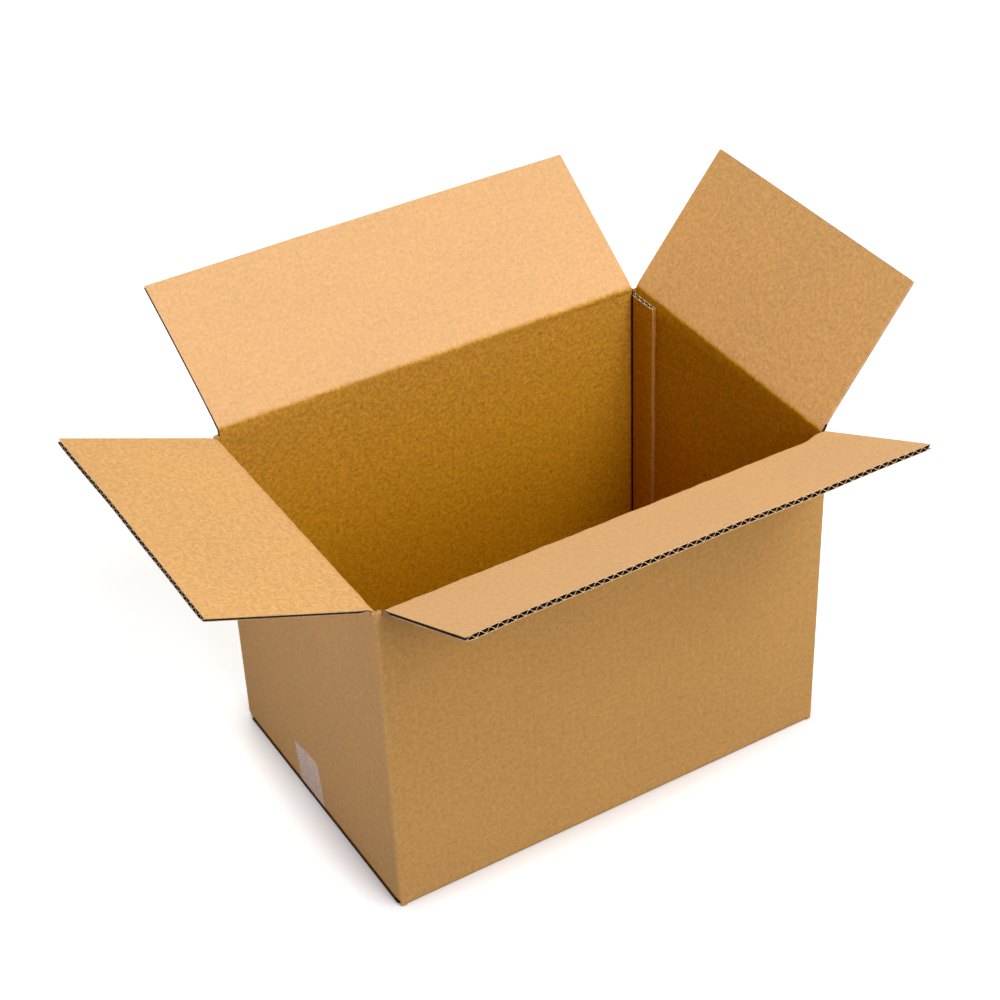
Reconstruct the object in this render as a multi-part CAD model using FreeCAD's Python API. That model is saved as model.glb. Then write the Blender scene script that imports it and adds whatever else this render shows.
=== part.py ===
"""Open carton: a regular slotted box of single-wall corrugated board, its four top flaps open.

Frame: +X along the long side, left to right; +Y from front to back; +Z up.
The origin is on the underside, in the middle of the plan. Millimetres and degrees.
"""
import FreeCAD, Part
import math
import os

os.makedirs("parts", exist_ok=True)

# Upright box, outside
BOX_LENGTH = 460.0  # left wall to right wall
BOX_WIDTH = 308.0  # front wall to back wall
RIM_HEIGHT = 339.8  # underside to the crease of the front and back flaps

# Corrugated board: two flat liners and a zigzag medium between them
BOARD = 4.7  # whole thickness
LINER = 0.35
MEDIUM = 0.3
FLUTE_PITCH = 8.72  # crest to crest

# Folds, slots and the glued joint
FOLD_RADIUS = 4.0  # outside of a folded edge
CREASE_BAND = 3.0  # beside a crease the board is pressed flat, and its flutes open only past this band
SIDE_CLEAR = 2.3  # a flap's side edge to the inner face of the wall beside it
SEAM_GAP = 0.5  # between the free edges of two flaps that meet
LAYER_GAP = 0.2  # between boards that lie on each other
TAB_WIDTH = 42.0  # glue tab, the back wall's own end
TAB_FOOT_CLEAR = 1.5  # the tab's foot to the floor
CUT_SETBACK = 1.5  # the right wall's cut edge to the back wall's outer face

# Creases that the top flaps turn on
CREASE_INSET = 0.8  # the crease's line inside the wall's outer face
CREASE_CLEAR = 0.15  # from that line to the board above it and below it
OPEN_LIMIT_ANGLE = 160.0  # a flap folded right back, from upright
SPARE_ANGLE = 1.0  # left between each taper and the middle between the two boards at that limit

# How far each flap stands open, outwards from upright
FRONT_OPEN_ANGLE = 65.7
BACK_OPEN_ANGLE = 54.9
LEFT_OPEN_ANGLE = 69.2
RIGHT_OPEN_ANGLE = 37.2

# Clear tape along the bottom seam and up both end walls
TAPE_WIDTH = 48.0
TAPE_THICKNESS = 0.08
TAPE_LEFT_TOP = 54.4  # height of its cut end, at the middle
TAPE_RIGHT_TOP = 62.0
TAPE_LEFT_OFFSET = 13.5  # from the seam back to the tape's middle, at the foot of the left wall
TAPE_RIGHT_OFFSET = -6.0
TAPE_LEFT_LEAN_ANGLE = 9.3  # towards the back, going up
TAPE_RIGHT_LEAN_ANGLE = -2.0
TAPE_LEFT_SKEW_ANGLE = 8.1  # its cut end off level, lower at the back
TAPE_RIGHT_SKEW_ANGLE = -3.0

half_length = BOX_LENGTH / 2
half_width = BOX_WIDTH / 2
inner_length = half_length - BOARD
inner_width = half_width - BOARD
fold_radius = min(FOLD_RADIUS, 0.9 * BOARD)
side_inset = BOARD + SIDE_CLEAR
flute_start = BOARD + CREASE_BAND
end_foot = BOARD + LAYER_GAP  # the end walls' flaps are folded in over the long walls' flaps
end_rim = RIM_HEIGHT - BOARD - LAYER_GAP  # and at the top they close under them
floor_top = end_foot + BOARD
bottom_depth = half_width - SEAM_GAP / 2
top_depth = bottom_depth - CREASE_INSET

PAST = 1.0  # how far a cutting shape runs past what it cuts
X_AXIS = FreeCAD.Vector(1, 0, 0)
Y_AXIS = FreeCAD.Vector(0, 1, 0)
Z_AXIS = FreeCAD.Vector(0, 0, 1)


def outline_face(points):
    """A flat face inside a closed outline of straight edges."""
    return Part.Face(Part.makePolygon(points + points[:1]))


def prism_along_x(outline, start, end):
    """A solid with a (y, z) outline, from x = start to x = end."""
    face = outline_face([FreeCAD.Vector(start, y, z) for y, z in outline])
    return face.extrude(FreeCAD.Vector(end - start, 0, 0))


def prism_along_y(outline, start, end):
    """A solid with an (x, z) outline, from y = start to y = end."""
    face = outline_face([FreeCAD.Vector(x, start, z) for x, z in outline])
    return face.extrude(FreeCAD.Vector(0, end - start, 0))


def prism_along_z(outline, start, end):
    """A solid with an (x, y) outline, from z = start to z = end."""
    face = outline_face([FreeCAD.Vector(x, y, start) for x, y in outline])
    return face.extrude(FreeCAD.Vector(0, 0, end - start))


def block(low, high):
    """A box between two opposite corners."""
    size = [b - a for a, b in zip(low, high)]
    return Part.makeBox(*size, FreeCAD.Vector(*low))


def fold_waste(centre, ways_out, direction, length):
    """What a rounded fold lacks of a square edge: a square bar less a round one, along the fold.

    centre is on the round's own axis, and ways_out are the outward directions of the two faces that it joins.
    """
    reach = fold_radius + PAST
    side_a, side_b = (way * reach for way in ways_out)
    square = outline_face([centre, centre + side_a, centre + side_a + side_b, centre + side_b])
    return square.extrude(direction * length).cut(Part.makeCylinder(fold_radius, length, centre, direction))


def flute_size():
    """Half the base and the height of the air under one crest, between the liner and the medium's two legs."""
    core = BOARD - 2 * LINER
    half_pitch = FLUTE_PITCH / 2
    medium_half = MEDIUM / 2 * math.hypot(half_pitch, core) / core
    half_base = half_pitch - medium_half
    return half_base, core * half_base / half_pitch


def flute_channel(x, start, end, on_outer_liner):
    """One three-sided channel along z, with its flat side on a liner and its ridge on the medium's crest."""
    half_base, height = flute_size()
    base = LINER if on_outer_liner else BOARD - LINER
    ridge = base + height if on_outer_liner else base - height
    return prism_along_z([(x - half_base, base), (x + half_base, base), (x, ridge)], start, end)


def flute_channels(width, start, end):
    """All channels of a board that is centred on x = 0. The side edges cut the outermost ones open."""
    half_pitch = FLUTE_PITCH / 2
    half_base, _ = flute_size()
    count = int((width / 2 + half_base - MEDIUM) / half_pitch)
    return [flute_channel(k * half_pitch, start, end, k % 2 == 0) for k in range(-count, count + 1)]


def board(width, root, free, flutes_from):
    """A sheet on edge, its outer face on y = 0, with flutes along z that are open at the free edge."""
    sheet = block((-width / 2, 0, min(root, free)), (width / 2, BOARD, max(root, free)))
    free_past = free + math.copysign(PAST, free - root)
    start, end = sorted((flutes_from, free_past))
    return sheet.cut(Part.makeCompound(flute_channels(width, start, end)))


def crease_waste(line_height, side):
    """The (y, z) outline of what is trimmed off a board at its crease, which leaves it a wedge at the crease's line.

    The inner bevel lets a flap close square, and the outer taper lets it fold right back.
    side is 1 above the line, for a wall, and -1 below it, for a flap.
    """
    taper = math.radians((180 - OPEN_LIMIT_ANGLE) / 2 - SPARE_ANGLE)
    outer_drop = CREASE_CLEAR + (CREASE_INSET + PAST) / math.tan(taper)
    inner_drop = CREASE_CLEAR + BOARD - CREASE_INSET
    beyond = BOARD + LAYER_GAP + PAST
    return [
        (-PAST, line_height - side * outer_drop),
        (CREASE_INSET, line_height - side * CREASE_CLEAR),
        (BOARD, line_height - side * inner_drop),
        (BOARD, line_height + side * beyond),
        (-PAST, line_height + side * beyond),
    ]


class Wall:
    """One side of the box. In its own frame, x runs along it, y = 0 is its outer face with +y inwards, z is up."""

    def __init__(self, turn, distance, length, foot, rim):
        self.turn = turn
        self.distance = distance
        self.foot = foot
        self.rim = rim
        self.flap_width = length - 2 * side_inset

    def place(self, shape):
        """A shape of the wall's frame, moved to its side of the box."""
        placed = shape.copy()
        placed.translate(FreeCAD.Vector(0, -self.distance, 0))
        placed.rotate(FreeCAD.Vector(), Z_AXIS, self.turn)
        return placed

    def rim_waste(self, start, end):
        """What the crease takes off the wall's top, between two places along the wall."""
        return self.place(prism_along_x(crease_waste(self.rim, 1), start, end))

    def top_flap(self, open_angle):
        """The flap above the wall, turned outwards about the crease's line."""
        flap = board(self.flap_width, self.rim, self.rim + top_depth, self.rim + flute_start)
        reach = self.flap_width / 2 + PAST
        flap = flap.cut(prism_along_x(crease_waste(self.rim, -1), -reach, reach))
        flap.rotate(FreeCAD.Vector(0, CREASE_INSET, self.rim), X_AXIS, open_angle)
        return self.place(flap)

    def bottom_flap(self):
        """The flap folded in under the wall, from the end of the rounded fold to its free edge."""
        flap = board(self.flap_width, -fold_radius, -bottom_depth, -flute_start)
        flap.rotate(FreeCAD.Vector(), X_AXIS, 90)
        flap.translate(FreeCAD.Vector(0, 0, self.foot))
        return self.place(flap)

    def bottom_fold(self, top):
        """The rounded fold between the wall and its bottom flap, as wide as the flap."""
        half = self.flap_width / 2
        fold = block((-half, 0, self.foot), (half, BOARD, top))
        centre = FreeCAD.Vector(-half, fold_radius, self.foot + fold_radius)
        fold = fold.cut(fold_waste(centre, (-Y_AXIS, -Z_AXIS), X_AXIS, 2 * half))
        return self.place(fold)


front = Wall(0, half_width, BOX_LENGTH, 0, RIM_HEIGHT)
right = Wall(90, half_length, BOX_WIDTH, end_foot, end_rim)
back = Wall(180, half_width, BOX_LENGTH, 0, RIM_HEIGHT)
left = Wall(270, half_length, BOX_WIDTH, end_foot, end_rim)


def wall_ring():
    """The four walls, one sheet folded round from the right wall's cut edge to the back wall's last fold."""
    top = RIM_HEIGHT + PAST
    ring = block((-half_length, -half_width, end_foot), (half_length, half_width, RIM_HEIGHT))
    ring = ring.cut(block((-inner_length, -inner_width, 0), (inner_length, inner_width, top)))
    fold_x = half_length - fold_radius
    fold_y = half_width - fold_radius
    ring = ring.cut(fold_waste(FreeCAD.Vector(-fold_x, -fold_y, 0), (-X_AXIS, -Y_AXIS), Z_AXIS, top))
    ring = ring.cut(fold_waste(FreeCAD.Vector(fold_x, -fold_y, 0), (X_AXIS, -Y_AXIS), Z_AXIS, top))
    ring = ring.cut(fold_waste(FreeCAD.Vector(-fold_x, fold_y, 0), (-X_AXIS, Y_AXIS), Z_AXIS, top))
    # The glued corner: the right wall stops at its cut edge, and the back wall folds round inside it
    cut_edge = half_width - CUT_SETBACK
    ring = ring.cut(block((inner_length, cut_edge, 0), (half_length + PAST, half_width + PAST, top)))
    tab_fold = FreeCAD.Vector(inner_length - fold_radius, fold_y, 0)
    ring = ring.cut(tab_fold_waste(tab_fold, top))
    ring = ring.cut(right.place(flute_channel(cut_edge, 0, top, True)))
    return ring


def tab_fold_waste(centre, length):
    """The groove beside the right wall's cut edge, where the back wall turns in to become the glue tab."""
    corner = FreeCAD.Vector(fold_radius, 0, 0)
    past_face = FreeCAD.Vector(0, fold_radius + PAST, 0)
    square = outline_face([centre, centre + corner, centre + corner + past_face, centre + past_face])
    return square.extrude(Z_AXIS * length).cut(Part.makeCylinder(fold_radius, length, centre, Z_AXIS))


def rim_creases(ring):
    """The walls' tops trimmed to wedges. The corner posts go with the front and back walls."""
    ring = ring.cut(front.rim_waste(-half_length - PAST, half_length + PAST))
    ring = ring.cut(back.rim_waste(-inner_length, half_length + PAST))
    ring = ring.cut(left.rim_waste(-inner_width, inner_width))
    return ring.cut(right.rim_waste(-inner_width, half_width + PAST))


def end_folds(ring):
    """The end walls' lower folds, rounded over the whole width of the box."""
    for side in (-1, 1):
        centre = FreeCAD.Vector(side * (half_length - fold_radius), -half_width, end_foot + fold_radius)
        ring = ring.cut(fold_waste(centre, (X_AXIS * side, -Z_AXIS), Y_AXIS, BOX_WIDTH))
    return ring


def glue_tab():
    """The back wall's end, turned in and glued flat to the right wall, with its own open flutes at head and foot."""
    head = end_rim + CREASE_INSET - BOARD - LAYER_GAP
    foot = floor_top + TAB_FOOT_CLEAR
    tab = board(TAB_WIDTH, foot, head, foot - PAST)
    tab.translate(FreeCAD.Vector(inner_width - TAB_WIDTH / 2, BOARD, 0))
    return right.place(tab)


def carton_body():
    """Walls, glue tab and the four bottom flaps: what stays put of the one folded sheet."""
    body = end_folds(rim_creases(wall_ring()))
    body = body.fuse([
        glue_tab(),
        front.bottom_fold(end_foot),
        back.bottom_fold(end_foot),
        front.bottom_flap(),
        back.bottom_flap(),
        left.bottom_flap(),
        right.bottom_flap(),
    ])
    return body.removeSplitter()


def bridge_height():
    """Where tape that is stretched from the long flaps' side edges over an end wall's fold meets that wall."""
    to_fold_x = fold_radius - side_inset
    to_fold_z = end_foot + fold_radius
    bearing = math.atan2(to_fold_z, to_fold_x)
    slope = bearing + math.asin(fold_radius / math.hypot(to_fold_x, to_fold_z))
    return -side_inset * math.tan(slope)


def offset_path(path, distance):
    """An open path of straight runs moved to its left by a distance, mitred at its corners."""
    normals = []
    for (x0, z0), (x1, z1) in zip(path, path[1:]):
        length = math.hypot(x1 - x0, z1 - z0)
        normals.append(((z0 - z1) / length, (x1 - x0) / length))
    pairs = zip(path, normals[:1] + normals, normals + normals[-1:])
    moved = []
    for (x, z), (ax, az), (bx, bz) in pairs:
        scale = distance / (1 + ax * bx + az * bz)
        moved.append((x + (ax + bx) * scale, z + (az + bz) * scale))
    return moved


def tape_leg(offset, lean, top, skew):
    """The (y, z) outline of the tape on an end wall, above the place where it leaves the wall."""
    foot = bridge_height()
    half = TAPE_WIDTH / 2
    middle = offset + (top - foot) * math.tan(math.radians(lean))
    drop = half * math.tan(math.radians(skew))
    return [
        (offset - half, foot),
        (offset + half, foot),
        (middle + half, top - drop),
        (middle - half, top + drop),
    ]


def bottom_tape():
    """The tape as one strip, set flush into the board: under the seam, over both end folds and up both end walls."""
    bridge = bridge_height()
    top = max(TAPE_LEFT_TOP, TAPE_RIGHT_TOP) + TAPE_WIDTH
    path = [
        (-half_length, top),
        (-half_length, bridge),
        (side_inset - half_length, 0),
        (half_length - side_inset, 0),
        (half_length, bridge),
        (half_length, top),
    ]
    inner_path = offset_path(path, TAPE_THICKNESS)
    band = prism_along_y(path + inner_path[::-1], -half_width, half_width)
    half = TAPE_WIDTH / 2
    run = prism_along_z(
        [
            (-half_length, TAPE_LEFT_OFFSET - half),
            (half_length, TAPE_RIGHT_OFFSET - half),
            (half_length, TAPE_RIGHT_OFFSET + half),
            (-half_length, TAPE_LEFT_OFFSET + half),
        ],
        0,
        bridge,
    )
    left_leg = tape_leg(TAPE_LEFT_OFFSET, TAPE_LEFT_LEAN_ANGLE, TAPE_LEFT_TOP, TAPE_LEFT_SKEW_ANGLE)
    right_leg = tape_leg(TAPE_RIGHT_OFFSET, TAPE_RIGHT_LEAN_ANGLE, TAPE_RIGHT_TOP, TAPE_RIGHT_SKEW_ANGLE)
    pattern = run.fuse([
        prism_along_x(left_leg, -half_length, PAST - half_length),
        prism_along_x(right_leg, half_length - PAST, half_length),
    ])
    return band.common(pattern).removeSplitter()


def write(name, shape):
    """Saves a one-piece sub-part."""
    solid, = shape.Solids
    solid.exportStep(f"parts/{name}.step")
    print(name, "valid" if solid.isValid() else "NOT VALID", round(solid.Volume), "mm3", len(solid.Faces), "faces")


tape = bottom_tape()
write("bottom_tape", tape)
write("carton_body", carton_body().cut(tape))
write("front_flap", front.top_flap(FRONT_OPEN_ANGLE))
write("right_flap", right.top_flap(RIGHT_OPEN_ANGLE))
write("back_flap", back.top_flap(BACK_OPEN_ANGLE))
write("left_flap", left.top_flap(LEFT_OPEN_ANGLE))
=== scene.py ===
"""An open shipping carton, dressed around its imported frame.

It is one folded and glued blank of single-wall corrugated board, with its four top flaps open and a strip of clear
tape under it. Sizes here are in millimetres and each piece's mesh is in metres: +X right, +Y back, +Z up.
"""
import math

import bmesh
import bpy
import numpy as np
from mathutils import Matrix, Vector


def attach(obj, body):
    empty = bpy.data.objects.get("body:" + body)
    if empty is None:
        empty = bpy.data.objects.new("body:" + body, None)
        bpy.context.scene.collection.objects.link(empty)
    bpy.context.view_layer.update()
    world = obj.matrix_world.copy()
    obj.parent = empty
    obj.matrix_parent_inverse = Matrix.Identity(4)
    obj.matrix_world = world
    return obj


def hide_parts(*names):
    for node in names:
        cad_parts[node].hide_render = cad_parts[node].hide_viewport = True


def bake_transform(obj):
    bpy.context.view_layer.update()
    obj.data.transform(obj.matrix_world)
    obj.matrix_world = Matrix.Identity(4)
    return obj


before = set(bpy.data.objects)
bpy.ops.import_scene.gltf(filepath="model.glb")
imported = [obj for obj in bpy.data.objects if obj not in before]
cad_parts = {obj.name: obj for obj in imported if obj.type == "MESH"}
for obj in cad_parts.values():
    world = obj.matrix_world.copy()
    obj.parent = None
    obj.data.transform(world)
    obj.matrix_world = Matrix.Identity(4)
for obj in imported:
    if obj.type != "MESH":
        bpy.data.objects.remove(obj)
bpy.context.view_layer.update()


# ---- Walls -----------------------------------------------------------------------------------------------------------
# The real walls are one strip of the blank, folded at three scored corners and glued at the fourth, back right.
# Two kraft liners with a fluted medium between them. The flutes stand upright, so the folds lie along them.
MM = 0.001
BOARD = 4.7
HALF_LENGTH = 230.0
HALF_WIDTH = 154.0
LONG_FLAP, END_FLAP = 223.0, 147.0  # half the length of a flap's crease
LONG_RIM, END_RIM = 339.8, 334.9  # the heights of the top creases
CORNER_RADIUS = 4.0
SCORE_GROOVE = 0.7  # how deep the scoring wheel pressed the inner liner at an upright fold
SCORE_REACH = 1.3  # how far beside the fold that shows
CUT_EDGE_SETBACK = 1.5  # the right wall's raw edge, short of the back wall's face
# The scored groove of the fold into the glue tab, from the tab's side to the back wall's: along the wall, and deep
TAB_FOLD = [(224.5, 4.5), (224.3, 2.6), (223.8, 1.5), (223.2, 1.4), (222.6, 2.8), (222.3, 4.7)]
FOLD_BACK = 149.4  # the groove lies behind this
BAND = 8.0  # the top and bottom of each wall are made with its flaps, so that the paper runs on round the crease
SLOT_FEET = [336.9, 335.2, 336.9, 336.0]  # of the four slots between the flaps, from the glued corner round
SLOT_STEP = 1.8  # a slot's foot is cut that much lower beside an end flap
SLOT_ROOT = 331.8  # the walls' rows are level up to here, and rise to the slots' feet above it
END_FOOT = 4.9  # the end walls stop one board higher than the long ones
LONG_FOOT = 0.5
FOOT_TOP = 12.7  # the rows are level down to here, and go down to each wall's own foot below it
ROUND_TOP = 8.9  # where the end walls' rounded foot starts
FLUTE_PITCH = 8.72


class Side:
    """One side of the box. In its frame x runs along the wall, d goes inwards from its outer face, z is up."""

    def __init__(self, turn, distance, half_flap, foot, rim, middle):
        self.cos, self.sin = round(math.cos(math.radians(turn))), round(math.sin(math.radians(turn)))
        self.distance = distance
        self.half_flap = half_flap
        self.foot = foot
        self.rim = rim
        self.middle = middle  # of this panel, along the flat blank

    def place(self, x, d, z):
        out = d - self.distance
        return np.stack([x * self.cos - out * self.sin, x * self.sin + out * self.cos, z + 0 * x], axis=-1)


SIDES = {
    "back": Side(180, HALF_WIDTH, LONG_FLAP, 0.0, LONG_RIM, 0.0),
    "left": Side(270, HALF_LENGTH, END_FLAP, END_FOOT, END_RIM, 384.0),
    "front": Side(0, HALF_WIDTH, LONG_FLAP, 0.0, LONG_RIM, 768.0),
    "right": Side(90, HALF_LENGTH, END_FLAP, END_FOOT, END_RIM, 1152.0),
}


def wander(along, wavelength, seed):
    """A smooth random line, mostly between -1 and 1, with waves about one wavelength long."""
    draw = np.random.default_rng(seed)
    waves = [np.sin(2 * math.pi * along / (wavelength * share) + draw.uniform(0, 6.28)) for share in (0.57, 1.0, 1.83)]
    return (0.5 * waves[0] + waves[1] + 0.8 * waves[2]) / 1.6


class Wire:
    """A node socket, or a bare tree. Sums on it add Math nodes, and make() adds any other node."""

    def __init__(self, tree, socket=None):
        self.tree = tree
        self.socket = socket

    def make(self, kind, settings=(), inputs=(), output=0):
        node = self.tree.nodes.new(kind)
        for name, value in dict(settings).items():
            setattr(node, name, value)
        for key, value in dict(inputs).items():
            if isinstance(value, Wire):
                self.tree.links.new(value.socket, node.inputs[key])
            else:
                node.inputs[key].default_value = value
        return Wire(self.tree, node.outputs[output] if len(node.outputs) else None)

    def math(self, operation, *values):
        return self.make("ShaderNodeMath", {"operation": operation}, dict(enumerate(values)))

    def __add__(self, other):
        return self.math("ADD", self, other)

    def __sub__(self, other):
        return self.math("SUBTRACT", self, other)

    def __rsub__(self, other):
        return self.math("SUBTRACT", other, self)

    def __mul__(self, other):
        return self.math("MULTIPLY", self, other)

    def __truediv__(self, other):
        return self.math("DIVIDE", self, other)

    def __pow__(self, other):
        return self.math("POWER", self, other)

    __radd__ = __add__
    __rmul__ = __mul__


def noise(bench, place, scale, detail=3.0, roughness=0.55):
    """A noise pattern from 0 to 1 at a place in metres, with that many grains to the metre."""
    return bench.make(
        "ShaderNodeTexNoise", (), {"Vector": place, "Scale": scale, "Detail": detail, "Roughness": roughness}
    )


def between(bench, value, low, high, to_low=0.0, to_high=1.0):
    """A value's share of the way from low to high, kept within both ends."""
    return bench.make("ShaderNodeMapRange", (), {0: value, 1: low, 2: high, 3: to_low, 4: to_high})


def kraft_paper(name, colour, grain=1.0, washboard=0.0, deep=None, deep_grain=1.0):
    """Kraft liner: short brown fibres pressed into a mottled sheet, with dark and pale flecks.

    washboard is how far the flutes show through it. A liner with deep colours has those where it is inside the box, as
    painted shade, from the rim's down to the floor's, with the floor's all over the right wall, and its own where its
    "turned_out" attribute is 1.
    """
    paper = bpy.data.materials.new(name)
    paper.use_nodes = True
    tree = paper.node_tree
    tree.nodes.clear()
    bench = Wire(tree)
    blank = bench.make("ShaderNodeUVMap", {"uv_map": "blank"})
    cloud = noise(bench, blank, 11.0, 3.0)
    blotch = noise(bench, blank, 110.0, 2.0)
    mottle = noise(bench, blank, 270.0, 3.0, 0.65)
    grit = noise(bench, blank, 900.0, 2.0, 0.7)
    flecks = between(bench, noise(bench, blank, 520.0, 1.0, 0.5), 0.68, 0.76)
    pale = between(bench, noise(bench, blank, 460.0, 1.0, 0.5), 0.30, 0.22)
    along = bench.make("ShaderNodeSeparateXYZ", (), {0: blank}, 0)
    ridges = bench.math("COSINE", along * (2 * math.pi / (FLUTE_PITCH * MM)))
    strength = grain
    tone = colour
    if deep:
        turned_out = bench.make("ShaderNodeAttribute", {"attribute_name": "turned_out"}, (), 2)
        strength = turned_out * (grain - deep_grain) + deep_grain
        rim, floor = deep
        height = bench.make("ShaderNodeSeparateXYZ", (), {0: blank}, 1)
        # Painted shade: the inside darkens from the rim down to the floor, and the right wall takes the floor's tone.
        lit_part = between(bench, height, 0.08, 0.335) ** 1.7 * between(bench, along, 1.0, 0.985)
        inside = bench.make(
            "ShaderNodeMix", {"data_type": "RGBA"}, {"Factor": lit_part, 6: (*floor, 1.0), 7: (*rim, 1.0)}, 2
        )
        tone = bench.make(
            "ShaderNodeMix", {"data_type": "RGBA"}, {"Factor": turned_out, 6: inside, 7: (*colour, 1.0)}, 2
        )
    shade = (
        1.0
        + (cloud - 0.5) * 0.14
        + ((blotch - 0.5) * 0.16 + (mottle - 0.5) * 0.56 + (grit - 0.5) * 0.42 + pale * 0.06 - flecks * 0.10) * strength
        + ridges * (washboard * 0.35)
    )
    lit = bench.make("ShaderNodeVectorMath", {"operation": "SCALE"}, {0: tone, "Scale": shade})
    warm = bench.make(
        "ShaderNodeMix",
        {"data_type": "RGBA", "blend_type": "MULTIPLY"},
        {"Factor": between(bench, cloud, 0.35, 0.65, 0.0, 0.5), 6: lit, 7: (1.0, 0.975, 0.93, 1.0)},
        2,
    )
    relief = grit * 0.5 + mottle * 0.5 + ridges * (washboard * 6.0)
    bump = bench.make("ShaderNodeBump", (), {"Strength": 0.35, "Distance": 0.0002, "Height": relief})
    shader = bench.make(
        "ShaderNodeBsdfPrincipled",
        (),
        {
            "Base Color": warm,
            "Roughness": between(bench, mottle, 0.3, 0.7, 0.78, 0.92),
            "Specular IOR Level": 0.12,
            "Normal": bump,
        },
    )
    bench.make("ShaderNodeOutputMaterial", (), {"Surface": shader})
    return paper


INSIDE_SHADE_TONES = ((0.55, 0.272, 0.034), (0.52, 0.240, 0.002))  # painted shade inside the box: the tone at the rim, and on the floor and the right wall
outer_paper = kraft_paper("kraft_outer_liner", (0.725, 0.389, 0.130), 1.1, 0.02)
inner_paper = kraft_paper("kraft_inner_liner", (0.74, 0.430, 0.198), 0.92, 0.01, INSIDE_SHADE_TONES, 2.6)
edge_paper = kraft_paper("kraft_cut_edge", (0.80, 0.56, 0.33), 1.2)
slot_and_hollow_shade_paper = kraft_paper("kraft_slot_cut_hollow_shade", (0.48, 0.28, 0.10), 1.6)  # cut across the closed-up flutes: the cut paper's own tone, darkened with painted shade for the flutes' hollows
# Near-black painted shade, for the tab's fold groove and the bottom flaps' cut sides under the end walls.
painted_shade_paper = kraft_paper("kraft_painted_shade", (0.10, 0.030, 0.006), 1.2)


def finish_piece(mesh, name, points, blank, sharp=40.0):
    """Gives a mesh its points and its flat-blank map, and puts it in the scene as a piece."""
    mesh.vertices.foreach_set("co", (points * MM).astype(np.float32).ravel())
    uv = mesh.uv_layers.new(name="blank")
    corner = np.empty(len(mesh.loops), np.int32)
    mesh.loops.foreach_get("vertex_index", corner)
    uv.data.foreach_set("uv", (blank[corner] * MM).astype(np.float32).ravel())
    mesh.polygons.foreach_set("use_smooth", np.ones(len(mesh.polygons), bool))
    shell = bmesh.new()
    shell.from_mesh(mesh)
    bmesh.ops.delete(shell, geom=[v for v in shell.verts if not v.link_faces], context="VERTS")
    bmesh.ops.recalc_face_normals(shell, faces=shell.faces)
    shell.to_mesh(mesh)
    shell.free()
    mesh.set_sharp_from_angle(angle=math.radians(sharp))
    mesh.name = name
    piece = bpy.data.objects.new(name, mesh)
    bpy.context.scene.collection.objects.link(piece)
    return piece


def two_faced_sheet(name, outer, inner, blank, keep, papers):
    """A closed sheet between two grids of points, without the cells that keep leaves out."""
    rows, cols = keep.shape
    front = np.arange((rows + 1) * (cols + 1)).reshape(rows + 1, cols + 1)
    rear = front + front.size
    there = np.pad(keep, 1)
    faces, parts = [], []
    for r, c in zip(*np.nonzero(keep)):
        ring = [(r, c), (r, c + 1), (r + 1, c + 1), (r + 1, c)]
        faces.append([front[p] for p in ring])
        faces.append([rear[p] for p in reversed(ring)])
        parts += [0, 1]
        beside = [there[r, c + 1], there[r + 1, c + 2], there[r + 2, c + 1], there[r + 1, c]]
        for k, neighbour in enumerate(beside):
            if not neighbour:
                p, q = ring[k], ring[(k + 1) % 4]
                faces.append([front[q], front[p], rear[p], rear[q]])
                parts.append(2)
    mesh = bpy.data.meshes.new(name)
    mesh.from_pydata(np.zeros((2 * front.size, 3)).tolist(), [], [[int(i) for i in f] for f in faces])
    for paper in papers:
        mesh.materials.append(paper)
    mesh.polygons.foreach_set("material_index", np.array(parts, np.int32))
    points = np.concatenate([outer.reshape(-1, 3), inner.reshape(-1, 3)])
    return finish_piece(mesh, name, points, np.concatenate([blank.reshape(-1, 2)] * 2))


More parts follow.
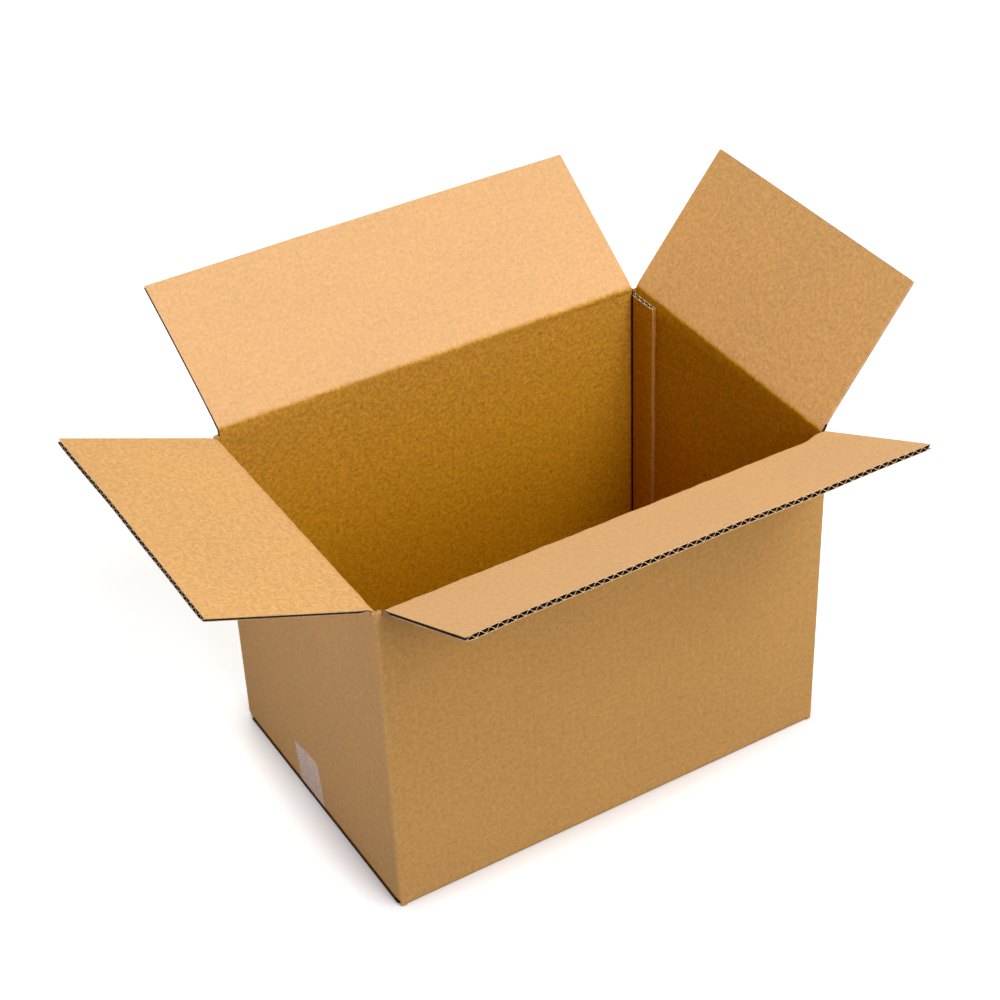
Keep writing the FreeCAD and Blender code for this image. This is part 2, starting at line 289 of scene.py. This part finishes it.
def wall_columns():
    """The plan of the strip, from the glued corner round to the right wall's raw edge: outer, inner, blank, side."""
    outer, inner, along, owner = [], [], [], []
    order = ["back", "left", "front", "right"]
    inner_radius = SCORE_REACH
    for number, name in enumerate(order):
        side = SIDES[name]
        half = HALF_LENGTH if side.distance == HALF_WIDTH else HALF_WIDTH
        first = -(half - BOARD - CORNER_RADIUS) if name == "back" else -(half - CORNER_RADIUS)
        last = half - CUT_EDGE_SETBACK if name == "right" else half - CORNER_RADIUS
        inside_from = -TAB_FOLD[-1][0] if name == "back" else -(half - BOARD - inner_radius)
        inside_to = half - CUT_EDGE_SETBACK if name == "right" else half - BOARD - inner_radius
        if name == "back":  # the fold into the glue tab
            for angle, within in zip(np.linspace(90, 15, 6), TAB_FOLD):
                a = math.radians(angle)
                x = first - CORNER_RADIUS * math.sin(a)
                d = CORNER_RADIUS - CORNER_RADIUS * math.cos(a)
                outer.append(side.place(np.array(x), np.array(d), np.array(0.0)))
                inner.append(side.place(np.array(-within[0]), np.array(within[1]), np.array(0.0)))
                along.append(side.middle + x)
                owner.append(name)
        window = side.half_flap
        stops = np.concatenate([
            [first],
            np.linspace(-window, window, 61 if half == HALF_LENGTH else 41),
            [last],
        ]) if first < -window else np.concatenate([[first], np.linspace(-window, window, 61)[1:], [last]])
        for x in stops:
            inside = min(max(x, inside_from), inside_to)
            outer.append(side.place(np.array(x), np.array(0.0), np.array(0.0)))
            inner.append(side.place(np.array(inside), np.array(BOARD), np.array(0.0)))
            along.append(side.middle + x)
            owner.append(name)
        if name != "right":
            after = SIDES[order[number + 1]]
            for angle in np.linspace(15, 75, 5):
                a = math.radians(angle)
                share = angle / 90
                x = last + CORNER_RADIUS * math.sin(a)
                d = CORNER_RADIUS * (1 - math.cos(a))
                outer.append(side.place(np.array(x), np.array(d), np.array(0.0)))
                corner = half - BOARD
                groove = SCORE_GROOVE * (1 - abs(2 * share - 1))
                back_off = inner_radius * max(0.0, 1 - 2 * share)
                inward = inner_radius * max(0.0, 2 * share - 1)
                inner.append(side.place(
                    np.array(corner - back_off + groove), np.array(BOARD + inward - groove), np.array(0.0)
                ))
                along.append(side.middle + half - CORNER_RADIUS + 2 * CORNER_RADIUS * share)
                owner.append(name if share < 0.5 else order[number + 1])
    return np.array(outer), np.array(inner), np.array(along), owner


def build_walls():
    outer_plan, inner_plan, along, owner = wall_columns()
    heights = np.array(
        [END_FOOT, 5.6, 6.6, 7.7, ROUND_TOP, FOOT_TOP, 17.6, 24.0, 36.0]
        + list(np.linspace(55, 290, 14))
        + [305.0, 318.0, 326.9, SLOT_ROOT, 332.6, 333.4, 334.2]
    )
    rows, cols = len(heights), len(along)
    outer = np.zeros((rows, cols, 3))
    inner = np.zeros((rows, cols, 3))
    end_wall = np.array([name in ("left", "right") for name in owner])
    corners = np.array([SIDES[name].middle - (HALF_LENGTH if SIDES[name].distance == HALF_WIDTH else HALF_WIDTH)
                        for name in ("back", "left", "front", "right")])
    slot_foot = np.interp(along, np.append(corners, corners[-1] + 2 * HALF_WIDTH), SLOT_FEET + SLOT_FEET[:1])
    slot_foot = slot_foot - SLOT_STEP * end_wall
    for r, z in enumerate(heights):
        risen = SLOT_ROOT + (z - SLOT_ROOT) * (slot_foot - SLOT_ROOT) / (heights[-1] - SLOT_ROOT)
        top = np.where(z > SLOT_ROOT, risen, z)
        if z < FOOT_TOP:
            lowered = FOOT_TOP - (FOOT_TOP - top) * (FOOT_TOP - LONG_FOOT) / (FOOT_TOP - END_FOOT)
            top = np.where(end_wall, top, lowered)
        outer[r] = outer_plan
        inner[r] = inner_plan
        outer[r, :, 2] = top
        inner[r, :, 2] = top
        if z < ROUND_TOP:
            draw_in = CORNER_RADIUS - math.sqrt(CORNER_RADIUS**2 - (ROUND_TOP - z) ** 2)
            far = end_wall & (np.abs(outer[r, :, 0]) > HALF_LENGTH - CORNER_RADIUS)
            outer[r, far, 0] -= np.sign(outer[r, far, 0]) * draw_in
    keep = np.ones((rows - 1, cols - 1), bool)
    middle_heights = (heights[1:] + heights[:-1]) / 2
    for c in range(cols - 1):
        if owner[c] != owner[c + 1]:
            continue
        side = SIDES[owner[c]]
        x = (along[c] + along[c + 1]) / 2 - side.middle
        if abs(x) < side.half_flap:
            keep[:, c] = (middle_heights > side.foot + BOARD + BAND) & (middle_heights < side.rim - BAND)
    blank = np.stack([np.broadcast_to(along, (rows, cols)), np.broadcast_to(heights[:, None], (rows, cols))], axis=-1)
    papers = [outer_paper, inner_paper, slot_and_hollow_shade_paper, painted_shade_paper]
    piece = two_faced_sheet("carton_walls", outer, inner, blank, keep, papers)
    for face in piece.data.polygons:  # painted shade, near-black, down in the tab's fold groove
        in_fold = face.center.x > TAB_FOLD[-1][0] * MM and face.center.y > FOLD_BACK * MM
        if face.material_index == papers.index(inner_paper) and in_fold:
            face.material_index = papers.index(painted_shade_paper)
    return piece


walls = build_walls()
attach(walls, "carton")
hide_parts("carton_body")


# ---- Glue tab --------------------------------------------------------------------------------------------------------
# The back wall's own end, turned in and glued flat inside the right wall. Its raw edge and its open flutes show.
# The board is made flat by its rule, two liners and a waving medium, and every flap is made from the same rule.
LINER = 0.45
MEDIUM = 0.58
GLUE_FILM = 0.02  # between the medium's crests and the liners
FLUTE_STEPS = 10  # points to one wave of the medium
LINER_STEPS = 2
TAB_WIDTH = 37.5
TAB_FOOT = 11.1
TAB_HEAD = 333.6


def board_rule():
    """Node tree of a flat board: x across the flutes, y along them, z from the outer face to the inner one."""
    tree = bpy.data.node_groups.new("corrugated_board", "GeometryNodeTree")
    face = tree.interface
    face.new_socket("Geometry", in_out="OUTPUT", socket_type="NodeSocketGeometry")
    sizes = {
        "Width": 0.4, "Start": 0.0, "End": 0.15, "Flutes Start": 0.006, "Thickness": BOARD * MM,
        "Liner": LINER * MM, "Medium": MEDIUM * MM, "Pitch": FLUTE_PITCH * MM, "Crest Gap": GLUE_FILM * MM,
    }
    for name, value in sizes.items():
        face.new_socket(name, in_out="INPUT", socket_type="NodeSocketFloat").default_value = value
    for name, value in {"Liner Columns": 100, "Liner Rows": 30, "Medium Columns": 500, "Medium Rows": 12}.items():
        face.new_socket(name, in_out="INPUT", socket_type="NodeSocketInt").default_value = value
    for name in ("Outer Paper", "Medium Paper", "Inner Paper"):
        face.new_socket(name, in_out="INPUT", socket_type="NodeSocketMaterial")
    bench = Wire(tree)
    given = {s.name: Wire(tree, s) for s in tree.nodes.new("NodeGroupInput").outputs}
    place = bench.make("GeometryNodeInputPosition")

    def layer(start, thickness, columns, rows, lift):
        length = given["End"] - start
        size = bench.make("ShaderNodeCombineXYZ", (), {0: given["Width"], 1: length, 2: thickness})
        slab = bench.make(
            "GeometryNodeMeshCube", (), {"Size": size, "Vertices X": columns, "Vertices Y": rows, "Vertices Z": 2}
        )
        shift = bench.make("ShaderNodeCombineXYZ", (), {1: start + length * 0.5, 2: lift})
        return bench.make("GeometryNodeSetPosition", (), {"Geometry": slab, "Offset": shift})

    x = bench.make("ShaderNodeSeparateXYZ", (), {0: place}, 0)
    swing = (given["Thickness"] - given["Liner"] * 2 - given["Medium"]) * 0.5 - given["Crest Gap"]
    turn = (x + given["Width"] * 0.5) / given["Pitch"] * (2 * math.pi) + 0.9 * math.pi
    wave = bench.math("COSINE", turn) * swing + given["Thickness"] * 0.5
    outer = layer(given["Start"], given["Liner"], given["Liner Columns"], given["Liner Rows"], given["Liner"] * 0.5)
    inner = layer(
        given["Start"], given["Liner"], given["Liner Columns"], given["Liner Rows"],
        given["Thickness"] - given["Liner"] * 0.5,
    )
    medium = layer(given["Flutes Start"], given["Medium"], given["Medium Columns"], given["Medium Rows"], wave)
    joined = tree.nodes.new("GeometryNodeJoinGeometry")
    for part in (inner, medium, outer):
        tree.links.new(part.socket, joined.inputs[0])
    real = bench.make("GeometryNodeRealizeInstances", (), {"Geometry": Wire(tree, joined.outputs[0])})
    z = bench.make("ShaderNodeSeparateXYZ", (), {0: place}, 2)
    dressed = bench.make("GeometryNodeSetMaterial", (), {"Geometry": real, "Material": given["Medium Paper"]})
    is_outer = bench.make("FunctionNodeCompare", {"operation": "LESS_THAN"}, {0: z, 1: given["Liner"]})
    dressed = bench.make(
        "GeometryNodeSetMaterial", (),
        {"Geometry": dressed, "Selection": is_outer, "Material": given["Outer Paper"]},
    )
    is_inner = bench.make(
        "FunctionNodeCompare", {"operation": "GREATER_THAN"}, {0: z, 1: given["Thickness"] - given["Liner"]}
    )
    dressed = bench.make(
        "GeometryNodeSetMaterial", (),
        {"Geometry": dressed, "Selection": is_inner, "Material": given["Inner Paper"]},
    )
    tree.links.new(dressed.socket, tree.nodes.new("NodeGroupOutput").inputs[0])
    return tree


# The medium is painted near-black: a medium a little darker than the liners, with painted shade for the hollows of the
# open flutes.
shaded_medium_paper = kraft_paper("kraft_medium_painted_shade", (0.11, 0.055, 0.020), 1.4)
BOARD_RULE = board_rule()


def flat_board(width, start, end, flutes_start, rows, medium_rows, inside, closed=(0.0, 0.0), cut_paper=None):
    """A plain mesh of one flat board, and its points in millimetres."""
    holder = bpy.data.objects.new("board", bpy.data.meshes.new("board"))
    bpy.context.scene.collection.objects.link(holder)
    modifier = holder.modifiers.new("board", "NODES")
    modifier.node_group = BOARD_RULE
    chosen = {
        "Width": width * MM, "Pitch": width * MM / (round(width / FLUTE_PITCH) + 0.5),
        "Start": start * MM, "End": end * MM, "Flutes Start": flutes_start * MM,
        "Liner Columns": int(width / FLUTE_PITCH * LINER_STEPS), "Liner Rows": rows,
        "Medium Columns": int(width / FLUTE_PITCH * FLUTE_STEPS), "Medium Rows": medium_rows,
        "Outer Paper": outer_paper, "Medium Paper": shaded_medium_paper, "Inner Paper": inside,
    }
    for item in BOARD_RULE.interface.items_tree:
        if item.item_type == "SOCKET" and item.in_out == "INPUT" and item.name in chosen:
            modifier[item.identifier] = chosen[item.name]
    holder.update_tag()
    bpy.context.view_layer.update()
    mesh = bpy.data.meshes.new_from_object(holder.evaluated_get(bpy.context.evaluated_depsgraph_get()))
    bpy.data.objects.remove(holder)
    points = np.empty(len(mesh.vertices) * 3, np.float32)
    mesh.vertices.foreach_get("co", points)
    middles = np.empty(len(mesh.polygons) * 3, np.float32)
    mesh.polygons.foreach_get("center", middles)
    middles = middles.reshape(-1, 3) / MM
    side_cut = np.abs(middles[:, 0]) > width / 2 - 0.01
    at_crest = (middles[:, 0] < closed[0] - width / 2) | (middles[:, 0] > width / 2 - closed[1])
    side_cut |= at_crest & (middles[:, 2] > LINER) & (middles[:, 2] < BOARD - LINER)
    end_cut = (middles[:, 1] > end - 0.01) | (middles[:, 1] < start + 0.01)
    paper = np.empty(len(mesh.polygons), np.int32)
    mesh.polygons.foreach_get("material_index", paper)
    for which, new_paper in ((side_cut, cut_paper or edge_paper), (end_cut, edge_paper)):
        mesh.materials.append(new_paper)
        paper[which] = len(mesh.materials) - 1
    mesh.polygons.foreach_set("material_index", paper)
    return mesh, points.reshape(-1, 3).astype(float) / MM


def build_tab():
    side = SIDES["right"]
    mesh, flat = flat_board(TAB_WIDTH, TAB_FOOT, TAB_HEAD, TAB_FOOT, 24, 24, inner_paper, (3.6, 0.0), outer_paper)
    x, z, t = flat.T
    root = HALF_WIDTH - BOARD
    local = root - TAB_WIDTH / 2 + x
    free = np.clip((root - TAB_WIDTH + 10 - local) / 10, 0, 1)
    local = local + free * 0.5 * wander(z, 60.0, 4)
    crushed = 1 - 0.81 * np.exp(-(((root - local + 0.25 * wander(z, 45.0, 6)) / 3.4) ** 2))
    crushed = crushed * (1 - 0.25 * np.exp(-((x + TAB_WIDTH / 2) / 2.5) ** 2))
    points = side.place(local, BOARD + t * crushed, z)
    return finish_piece(mesh, "glue_tab", points, np.stack([side.middle + 300 + x, z], axis=-1))


tab = build_tab()
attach(tab, "carton")


# ---- Bottom flaps ----------------------------------------------------------------------------------------------------
# Four flaps of the same blank, folded in: first those of the end walls, then those of the long walls under them,
# which meet at the taped seam. Each one is made flat, with a strip of its wall, and folded at its crease.
SEAM_GAP = 0.5
BOTTOM_DEPTH = HALF_WIDTH - SEAM_GAP / 2
UNDERSIDE = 0.1  # the board lies on the tape's thickness
BOTTOM_SPARE = 6.6  # the outer two flaps reach that much nearer the end walls' faces than the top ones
ROOT_ROWS = [
    -8.0, -6.5, -5.2, -4.2, -3.3, -2.6, -2.0, -1.5, -1.0, -0.5,
    0.0, 0.5, 1.0, 1.5, 2.0, 2.6, 3.3, 4.2, 5.2, 6.5,
]


def stations(depth):
    """Where the rows of a flap's liners lie, close together at the crease and at the free edge."""
    span = depth - 12.0
    return np.array(ROOT_ROWS + [8.0, 10.0, 13.0] + list(np.linspace(18.0, span, 14)) + [depth - 6, depth - 2, depth])


def fold(s, t, angle, pivot, softness, crush=1.0, reach=2.0):
    """Where a flat board's points go when it is folded at s = 0, as (d, h) about the crease.

    s is the distance past the crease, t the depth from the outer face, and pivot the depth that keeps its length.
    A positive angle folds the flap outwards. The crease is mitred, then rounded over its softness, and near it the
    board is crushed to that share of its thickness.
    """
    a = math.radians(angle)
    out, normal = np.array([-math.sin(a), math.cos(a)]), np.array([math.cos(a), math.sin(a)])

    def mitred(s):
        off = (t - pivot) * (1 - (1 - crush) * np.exp(-((s / np.where(s < 0, reach / 2.5, reach)) ** 2)))
        past = off * math.tan(a / 2) * np.clip(1 - np.abs(s) / BAND, 0, 1)
        wall = np.stack([off, s + past], axis=-1)
        flap = (s - past)[:, None] * out + off[:, None] * normal
        return np.where((s < 0)[:, None], wall, flap)

    path = (mitred(s - softness) + 2 * mitred(s) + mitred(s + softness)) / 4
    return pivot + path[:, 0], path[:, 1]


def flap_board(side, depth, flutes_start, inside, medium_rows, closed=(0.0, 0.0), cut_paper=None):
    """A flap's flat board with its rows crowded at the crease: mesh, x, s, t."""
    rows = stations(depth)
    mesh, flat = flat_board(
        2 * side.half_flap, -BAND, depth, flutes_start, len(rows), medium_rows, inside, closed, cut_paper
    )
    x, y, t = flat.T
    is_liner = (t < LINER + GLUE_FILM / 2) | (t > BOARD - LINER - GLUE_FILM / 2)
    share = (y + BAND) / (depth + BAND)
    s = np.where(is_liner, np.interp(share, np.linspace(0, 1, len(rows)), rows), y)
    return mesh, x, s, t


def build_bottom_flap(name):
    side = SIDES[name]
    # Their cut sides, seen under the end walls, are near-black painted shade.
    mesh, x, s, t = flap_board(side, BOTTOM_DEPTH - BOARD, 7.0, inner_paper, 10, (3.0, 3.0), painted_shade_paper)
    d, h = fold(s, t, -90.0, BOARD, 2.2)
    if side.foot == 0.0:
        x = x * (1 + BOTTOM_SPARE / side.half_flap * np.clip((s - 1.0) / 3.0, 0, 1))
    points = side.place(x, d, side.foot + BOARD - h + UNDERSIDE * np.clip(s / 3, 0, 1))
    return finish_piece(mesh, f"bottom_flap_{name}", points, np.stack([side.middle + x, side.foot + BOARD - s], axis=-1))


for name in SIDES:
    flap = build_bottom_flap(name)
    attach(flap, "carton")


# ---- Top flaps -------------------------------------------------------------------------------------------------------
# Each stands open at its scored crease. The crease is crushed board: the inner liner runs on over it in one piece,
# softly rounded and a little wavy, and the free edges are raw, with their flutes open.
CREASE_DEPTH = 0.8  # of the line that a flap turns on, inside the wall's outer face
TOP_DEPTH = HALF_WIDTH - SEAM_GAP / 2 - CREASE_DEPTH
OPEN_ANGLES = {"front": 65.7, "right": 37.2, "back": 54.9, "left": 69.2}
# How far each flap's two free corners are off a flat square flap, in world millimetres: at -x and at +x of its side
CORNER_WARPS = {
    "front": ((0.0, 0.0, 0.0), (0.0, 0.0, 0.0)),
    "right": ((0.0, 0.0, 0.0), (4.9, -0.5, 2.7)),
    "back": ((0.0, 0.0, 0.0), (-4.6, 0.0, 1.2)),
    "left": ((0.0, 0.0, 0.0), (0.0, 0.0, 0.0)),
}
BOWS = {"front": 1.6, "right": -1.2, "back": 1.2, "left": 1.0}
# How far each crease has settled outwards and down, at -x and at +x of its side
CREASE_SAGS = {
    "front": ((4.0, 2.6), (4.2, 3.6)),
    "right": ((0.0, 0.0), (1.2, -4.6)),
    "back": ((-1.2, 2.8), (0.6, -0.4)),
    "left": ((1.1, 1.1), (1.1, 1.1)),
}
CRUSHED = {"front": (0.62, 2.6), "right": (0.92, 4.2), "back": (0.92, 4.2), "left": (0.62, 2.6)}  # share left, reach
CLOSED_EDGES = {"right": (4.4, 0.0), "left": (0.0, 4.0)}  # side edges cut so near a crest that the medium closes them
PRESSED_EDGES = {"front": (0.22, 0.1), "right": (0.4, 0.15), "back": (0.15, 0.1), "left": (0.1, 0.36)}  # by the knives
SLOTTED = {"front": 0.8, "right": 0.0, "back": 0.0, "left": 0.8}  # how far a side edge is crushed at its crease
# Over how many millimetres past the crease the inside's painted shade tone gives way to the flap's own
TURN_SPAN = {"front": (-2.5, 0.0), "right": (-0.3, 3.4), "back": (-0.3, 3.4), "left": (-2.5, 0.0)}
UNSHADED_SHARES = {"right": 0.68, "left": 0.68}  # the end flaps keep only about two thirds of their own tone; the rest is the inside's painted shade tone, which darkens the right one most


def between_ends(value, low, high):
    """A smooth step from 0 at low to 1 at high."""
    share = np.clip((value - low) / (high - low), 0, 1)
    return share * share * (3 - 2 * share)


def build_top_flap(name, seed):
    side = SIDES[name]
    angle = OPEN_ANGLES[name]
    mesh, x, s, t = flap_board(side, TOP_DEPTH, 6.5, inner_paper, 14, CLOSED_EDGES.get(name, (0.0, 0.0)))
    pressed = [np.exp(-(((side.half_flap + sign * x) / 5.0) ** 2)) for sign in (1, -1)]
    press = sum(share * amount for share, amount in zip(pressed, PRESSED_EDGES[name])) * between_ends(s, 0.0, 12.0)
    slotted = sum(share**3 for share in pressed) * between_ends(s, -4.0, -1.5) * (1 - between_ends(s, 4.0, 12.0))
    t = BOARD - (BOARD - t) * (1 - press) * (1 - SLOTTED[name] * slotted)
    near = np.exp(-((s / 5.0) ** 2))
    ripple = 0.4 * wander(x, 41.0, seed) + 0.25 * wander(x, 11.0, seed + 9)
    d, h = fold(s, t, angle, CREASE_DEPTH, 0.8, *CRUSHED[name])
    sag = np.where(s < 0, between_ends(s, -BAND, 0.0), 1 - np.clip(s / TOP_DEPTH, 0, 1))
    low_end, high_end = (np.array(sags) for sags in CREASE_SAGS[name])
    share = ((x / side.half_flap + 1) / 2)[:, None]
    sag_out, sag_down = (low_end * (1 - share) + high_end * share).T
    if name == "front":  # its right end sprang back up
        sprung = 1 - 0.55 * between_ends(x, 203.0, 219.0)
        sag_out, sag_down = sag_out * sprung, sag_down * sprung
    d = d - sag * sag_out
    h = h - sag * sag_down + near * ripple
    points = side.place(x, d, side.rim + h)
    a = math.radians(angle)
    normal = side.place(np.array(0.0), np.array(side.distance + math.cos(a)), np.array(math.sin(a)))
    depth = np.clip(s / TOP_DEPTH, 0, 1)
    width = x / side.half_flap
    bow = BOWS[name] * (1 - width**2) * depth**1.5 + 0.5 * depth * wander(x, 190.0, seed + 5)
    points += bow[:, None] * normal
    low, high = (np.array(warp) for warp in CORNER_WARPS[name])
    points += (depth**1.5)[:, None] * ((1 - width) / 2)[:, None] * low
    points += (depth**1.5)[:, None] * ((1 + width) / 2)[:, None] * high
    # Painted shade: where this is below 1, the liner takes the inside's painted shade tone.
    turned_out = mesh.attributes.new("turned_out", "FLOAT", "POINT")
    shown = between_ends(s, *TURN_SPAN[name]) * UNSHADED_SHARES.get(name, 1.0)
    turned_out.data.foreach_set("value", shown.astype(np.float32))
    piece = finish_piece(mesh, f"{name}_flap_board", points, np.stack([side.middle + x, side.rim + s], axis=-1))
    axis = side.place(np.array(0.0), np.array(CREASE_DEPTH), np.array(side.rim))
    along = side.place(np.array(0.0), np.array(side.distance - math.sin(a)), np.array(math.cos(a)))
    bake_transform(piece)
    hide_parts(f"{name}_flap")
    return piece


for seed, name in enumerate(SIDES):
    build_top_flap(name, 10 + seed)


# ---- Packing tape ----------------------------------------------------------------------------------------------------
# One strip of clear tape under the bottom seam, over both end folds and up both end walls, pressed on by hand,
# with the saw-toothed ends that a tape cutter leaves.
TAPE_WIDTH = 48.0
TAPE_THICKNESS = 0.07
TAPE_PROUD = 0.12
TAPE_FOOT = 7.3  # where it leaves an end wall to pass over the fold
TAPE_TEETH = 32
TOOTH = 0.9
TAPE_ENDS = {  # the seam to its middle, its top, its lean and the slant of its cut end, in degrees
    "left": (13.5, 54.4, 9.3, 8.1),
    "right": (-6.0, 62.0, -2.0, -3.0),
}


def clear_film():
    """Clear film with a faint haze, where its adhesive wets the paper unevenly."""
    film = bpy.data.materials.new("clear_tape_film")
    film.use_nodes = True
    tree = film.node_tree
    tree.nodes.clear()
    bench = Wire(tree)
    blank = bench.make("ShaderNodeUVMap", {"uv_map": "blank"})
    streaks = bench.make("ShaderNodeVectorMath", {"operation": "MULTIPLY"}, {0: blank, 1: (1.0, 0.05, 1.0)})
    haze = noise(bench, streaks, 300.0, 3.0)
    bubbles = between(bench, noise(bench, blank, 240.0, 2.0), 0.62, 0.72)
    shader = bench.make(
        "ShaderNodeBsdfPrincipled",
        (),
        {
            "Base Color": (1.0, 0.80, 0.58, 1.0),
            "Roughness": between(bench, haze, 0.3, 0.7, 0.16, 0.30),
            "Specular IOR Level": 0.5,
            "Alpha": between(bench, haze, 0.3, 0.7, 0.28, 0.50) + bubbles * 0.08,
        },
    )
    bench.make("ShaderNodeOutputMaterial", (), {"Surface": shader})
    return film


def build_tape():
    across = np.linspace(-TAPE_WIDTH / 2, TAPE_WIDTH / 2, 2 * TAPE_TEETH + 1)
    teeth = np.where(np.arange(len(across)) % 2 == 0, 0.0, -TOOTH)
    rows_leg = np.linspace(1, 0, 14)
    outer, inner = [], []
    inset = BOARD + 2.3
    for sign, name in ((-1, "left"), (1, "right")):
        offset, top, lean, skew = TAPE_ENDS[name]
        leg_outer, leg_inner = [], []
        for share in rows_leg:
            end = top - across * math.tan(math.radians(skew)) + teeth
            z = TAPE_FOOT + share * (end - TAPE_FOOT)
            y = offset + across + (z - TAPE_FOOT) * math.tan(math.radians(lean))
            for rail, proud in ((leg_outer, TAPE_PROUD + TAPE_THICKNESS), (leg_inner, TAPE_PROUD)):
                rail.append(np.stack([np.full_like(y, sign * (HALF_LENGTH + proud)), y, z], axis=-1))
        for share in (0.3, 0.7, 1.0):
            x = sign * (HALF_LENGTH - inset * share)
            z = TAPE_FOOT * (1 - share)
            y = offset + across
            outside = np.full_like(y, x + sign * TAPE_PROUD * (1 - share))
            leg_outer.append(np.stack([outside, y, np.full_like(y, z)], axis=-1))
            leg_inner.append(np.stack([np.full_like(y, x), y, np.full_like(y, z + TAPE_THICKNESS)], axis=-1))
        if sign == 1:
            leg_outer.reverse()
            leg_inner.reverse()
        else:
            start = offset
        outer += leg_outer
        inner += leg_inner
        if sign == -1:
            finish = TAPE_ENDS["right"][0]
            for share in np.linspace(0.02, 0.98, 24):
                x = -(HALF_LENGTH - inset) + share * 2 * (HALF_LENGTH - inset)
                y = start + (finish - start) * share + across
                outer.append(np.stack([np.full_like(y, x), y, np.zeros_like(y)], axis=-1))
                inner.append(np.stack([np.full_like(y, x), y, np.full_like(y, TAPE_THICKNESS)], axis=-1))
    outer, inner = np.array(outer), np.array(inner)
    steps = np.linalg.norm(np.diff(outer[:, len(across) // 2], axis=0), axis=1)
    length = np.concatenate([[0], np.cumsum(steps)])
    blank = np.stack(np.broadcast_arrays(across[None, :], length[:, None]), axis=-1)
    keep = np.ones((len(outer) - 1, len(across) - 1), bool)
    return two_faced_sheet("packing_tape", outer, inner, blank, keep, [clear_film()] * 3)


tape = build_tape()
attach(tape, "carton")
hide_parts("bottom_tape")


# ---- Floor, light and camera -----------------------------------------------------------------------------------------
# A plain white studio floor under soft light from above and in front. The camera stands at the photograph's angle.
CAMERA_PLACE = (-0.83408, -1.42278, 1.47433)
CAMERA_RIGHT = (0.85449238, -0.51823728, -0.03567771)
CAMERA_DOWN = (-0.33147569, -0.49109234, -0.80557568)
CAMERA_AHEAD = (0.3999583, 0.70018457, -0.59141773)
LENS = 80.68
FLOOR_HALF = 30.0


def seen_directly(bench):
    """1 on the rays that show a surface to the camera, and 0 on those that only light others."""
    path = bench.tree.nodes.new("ShaderNodeLightPath")
    camera, glossy, through = (
        Wire(bench.tree, path.outputs[name]) for name in ("Is Camera Ray", "Is Glossy Ray", "Is Transmission Ray")
    )
    return bench.math("MAXIMUM", bench.math("MAXIMUM", camera, glossy), through)


def build_studio():
    floor_mesh = bpy.data.meshes.new("studio_floor")
    corners = [(-1, -1), (1, -1), (1, 1), (-1, 1)]
    floor_mesh.from_pydata([(x * FLOOR_HALF, y * FLOOR_HALF, 0.0) for x, y in corners], [], [(0, 1, 2, 3)])
    paint = bpy.data.materials.new("studio_white")
    paint.use_nodes = True
    tree = paint.node_tree
    tree.nodes.clear()
    bench = Wire(tree)
    straight = seen_directly(bench)
    # Painted shadow: the floor's glow for the camera fades with ambient occlusion beside the carton.
    clear = bench.make("ShaderNodeAmbientOcclusion", {"samples": 4}, {"Distance": 0.035}, 1)
    plain = bench.make(
        "ShaderNodeBsdfPrincipled", (),
        {
            "Base Color": straight * 0.62 + 0.28, "Roughness": 1.0, "Specular IOR Level": 0.0,
            "Emission Color": straight * clear**2.0 * 0.46, "Emission Strength": 1.0,
        },
    )
    bench.make("ShaderNodeOutputMaterial", (), {"Surface": plain})
    floor_mesh.materials.append(paint)
    floor = bpy.data.objects.new("studio_floor", floor_mesh)
    bpy.context.scene.collection.objects.link(floor)

    world = bpy.data.worlds.new("studio")
    world.use_nodes = True
    tree = world.node_tree
    tree.nodes.clear()
    bench = Wire(tree)
    soft = bench.make("ShaderNodeBackground", (), {"Color": (1.0, 1.0, 1.0, 1.0), "Strength": 0.06})
    shown = bench.make("ShaderNodeBackground", (), {"Color": (1.0, 1.0, 1.0, 1.0), "Strength": 1.0})
    mixed = bench.make("ShaderNodeMixShader", (), {0: seen_directly(bench), 1: soft, 2: shown})
    bench.make("ShaderNodeOutputWorld", (), {"Surface": mixed})
    bpy.context.scene.world = world

    def lamp(name, place, aim, size, power, colour):
        light = bpy.data.lights.new(name, "AREA")
        light.shape = "DISK"
        light.size = size
        light.energy = power
        light.color = colour
        holder = bpy.data.objects.new(name, light)
        towards = np.array(aim, float) - np.array(place, float)
        holder.rotation_mode = "QUATERNION"
        holder.rotation_quaternion = Vector(towards).to_track_quat("-Z", "Y")
        holder.location = place
        bpy.context.scene.collection.objects.link(holder)

    middle = (0.0, 0.0, 0.25)
    lamp("key_softbox", (0.75, -1.30, 2.85), middle, 1.6, 45.5, (0.97, 1.0, 1.15))
    lamp("rear_softbox", (0.0, 1.5, 2.85), middle, 1.6, 44.0, (1.0, 0.99, 0.86))
    lamp("front_fill", (0.0, -2.46, 1.97), middle, 1.6, 46.0, (1.0, 1.0, 0.90))
    lamp("left_fill", (-0.85, -0.05, 0.31), (-0.23, 0.0, 0.25), 0.4, 1.55, (0.90, 0.97, 1.36))


build_studio()


def build_camera():
    camera = bpy.data.cameras.new("camera")
    camera.sensor_width = 36.0
    camera.lens = LENS
    camera.clip_start, camera.clip_end = 0.05, 100.0
    holder = bpy.data.objects.new("camera", camera)
    axes = Matrix((CAMERA_RIGHT, [-v for v in CAMERA_DOWN], [-v for v in CAMERA_AHEAD])).transposed().to_4x4()
    axes.translation = CAMERA_PLACE
    holder.matrix_world = axes
    bpy.context.scene.collection.objects.link(holder)
    bpy.context.scene.camera = holder


build_camera()
bpy.context.scene.view_settings.view_transform = "Standard"
